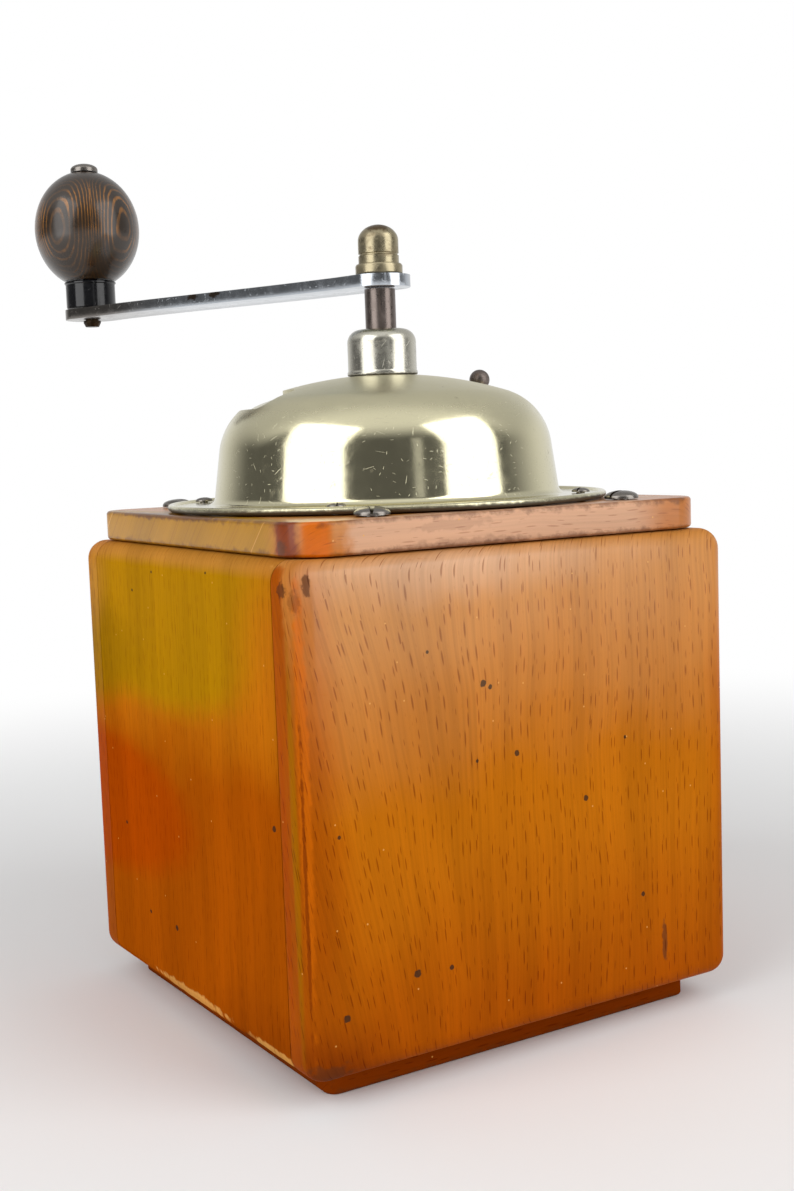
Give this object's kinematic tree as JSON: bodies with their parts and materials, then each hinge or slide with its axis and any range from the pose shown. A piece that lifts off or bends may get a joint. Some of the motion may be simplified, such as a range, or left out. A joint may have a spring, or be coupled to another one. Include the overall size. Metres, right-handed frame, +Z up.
{
  "type": "manual coffee mill",
  "caption": "Wooden box coffee mill with a drawer, a domed metal hopper with a turning door, toothed grinding cone, and a hand crank with a turned wooden knob.",
  "frame": {"origin": "centre of the plinth's underside", "axes": "+Z up along the crank shaft, the drawer opens towards -Y"},
  "size_m": [0.12, 0.1875, 0.2273],
  "materials": {
    "varnished_beech": "amber varnish with short dark flecks, worn at the edges",
    "dark_knob_wood": "dark glossy stain with the grain showing through",
    "spun_nickel": "polished pale yellowish plating with fine scratches",
    "crank_steel": "bright plated steel with small brown spots",
    "screw_steel": "dull grey steel",
    "cast_iron": "dark grey as cast",
    "adjuster_brass": "turned",
    "ferrule_black": "glossy black enamel"
  },
  "bodies": {
    "root": {"plinth_board": "varnished_beech", "plinth_screw_1": "screw_steel", "plinth_screw_2": "screw_steel", "plinth_screw_3": "screw_steel", "plinth_screw_4": "screw_steel", "bottom_board": "varnished_beech", "back_board": "varnished_beech", "front_board": "varnished_beech", "left_side_board": "varnished_beech", "right_side_board": "varnished_beech", "top_board": "varnished_beech", "top_screw_1": "screw_steel", "top_screw_2": "screw_steel", "top_screw_3": "screw_steel", "top_screw_4": "screw_steel", "drawer_guide_left": "varnished_beech", "drawer_guide_right": "varnished_beech", "burr_housing": "cast_iron", "housing_screw_1": "screw_steel", "housing_screw_2": "screw_steel", "housing_screw_3": "screw_steel", "bridge": "cast_iron", "bridge_screw_1": "screw_steel", "bridge_screw_2": "screw_steel", "detent_spring": "screw_steel", "detent_screw": "screw_steel", "hopper_dome": "spun_nickel", "flange_screw_1": "screw_steel", "flange_screw_2": "screw_steel", "flange_screw_3": "screw_steel", "flange_screw_4": "screw_steel", "bearing_bush": "adjuster_brass", "bearing_cap": "spun_nickel", "shaft_spring": "screw_steel"},
    "drawer": {"drawer_front": "varnished_beech", "drawer_left_side": "varnished_beech", "drawer_right_side": "varnished_beech", "drawer_back": "varnished_beech", "drawer_bottom": "varnished_beech", "drawer_knob": "varnished_beech", "drawer_knob_screw": "screw_steel"},
    "door": {"hopper_door": "spun_nickel", "door_knob": "spun_nickel"},
    "thrust": {"thrust_ball": "screw_steel"},
    "adjuster": {"adjusting_screw": "adjuster_brass"},
    "crank": {"shaft": "crank_steel", "burr_cone": "cast_iron", "burr_pin": "screw_steel", "spring_washer": "screw_steel", "crank_arm": "crank_steel", "cap_nut": "crank_steel", "knob_spindle": "crank_steel", "knob_cap": "crank_steel"},
    "knob": {"knob_ferrule": "ferrule_black", "crank_knob": "dark_knob_wood"}
  },
  "joints": [
    {"name": "drawer_slide", "type": "slide", "parent": "root", "child": "drawer", "axis": [0, -1, 0], "range_m": [0, 0.08]},
    {"name": "door_turn", "type": "hinge", "parent": "root", "child": "door", "pos_m": [0, 0, 0.1583], "axis": [0, 0, 1], "range_deg": [0, 170]},
    {"name": "burr_lift", "type": "slide", "parent": "root", "child": "thrust", "axis": [0, 0, 1], "range_m": [-0.00063, 0.00063], "deforming": ["shaft_spring"]},
    {"name": "adjuster_turn", "type": "hinge", "parent": "thrust", "child": "adjuster", "pos_m": [0, 0, 0.0621], "axis": [0, 0, 1], "range_deg": [-180, 180]},
    {"name": "crank_turn", "type": "hinge", "parent": "thrust", "child": "crank", "pos_m": [0, 0, 0.0829], "axis": [0, 0, 1], "continuous": true},
    {"name": "knob_spin", "type": "hinge", "parent": "crank", "child": "knob", "pos_m": [0.03362, -0.11206, 0.1845], "axis": [0, 0, 1], "continuous": true}
  ],
  "couplings": [
    {"joint": "adjuster_turn", "follows": "burr_lift", "rad_per_m": 5026.5}
  ]
}
